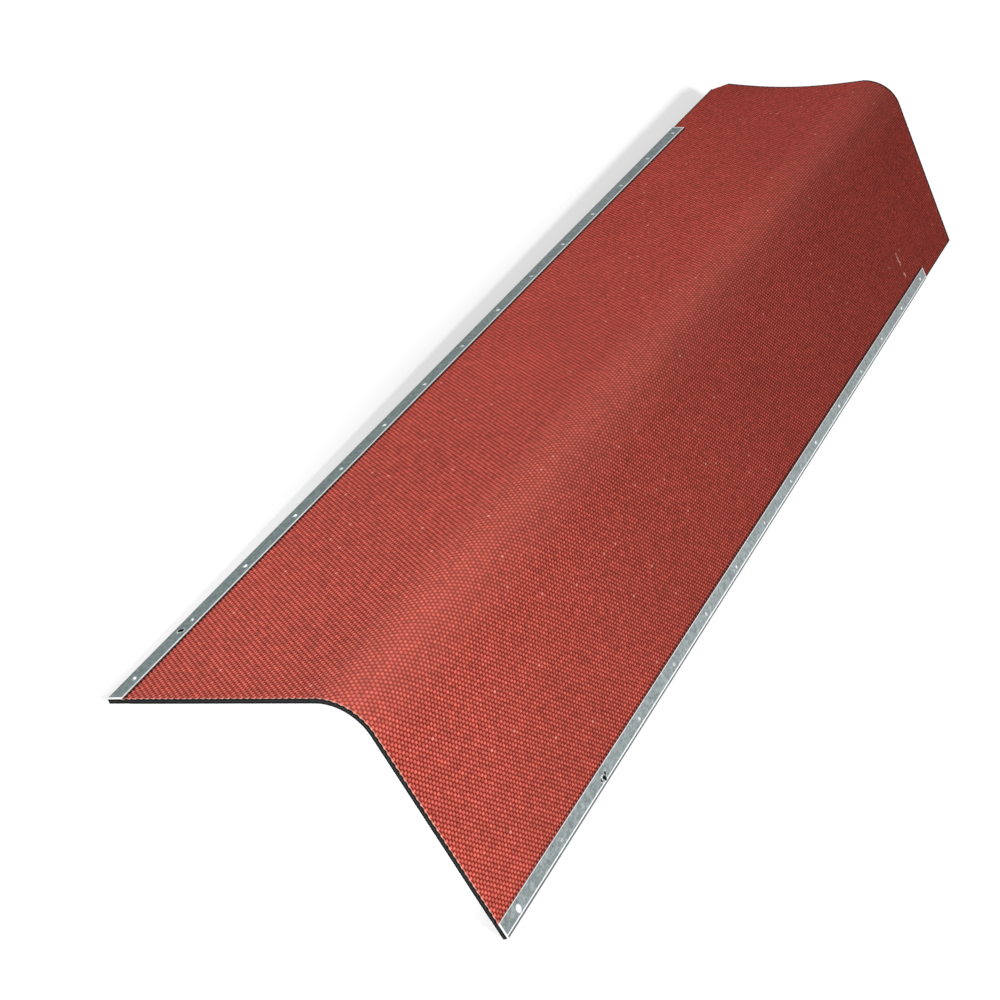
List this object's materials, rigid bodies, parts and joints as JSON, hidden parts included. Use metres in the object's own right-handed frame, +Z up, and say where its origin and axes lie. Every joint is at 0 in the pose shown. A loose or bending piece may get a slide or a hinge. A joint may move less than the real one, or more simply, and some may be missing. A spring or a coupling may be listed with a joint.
{
  "type": "roof ridge cap",
  "caption": "Bent roof ridge cap of red woven-faced bitumen fibre sheet with folded galvanised steel edge strips clinched along its long edges; covers the joint of roof slopes.",
  "frame": {"origin": "on the floor under the middle of the cap's length and span, which rests on the folded edges of its steel strips", "axes": "+X across the roof, +Y along the ridge towards the bare lap end, +Z up"},
  "size_m": [0.2556, 1.016, 0.0893],
  "materials": {
    "bitumen_sheet": "matte",
    "galvanised_steel": "satin"
  },
  "bodies": {
    "root": {"ridge_sheet": "bitumen_sheet", "edge_strip_left": "galvanised_steel", "edge_strip_right": "galvanised_steel"}
  },
  "joints": []
}
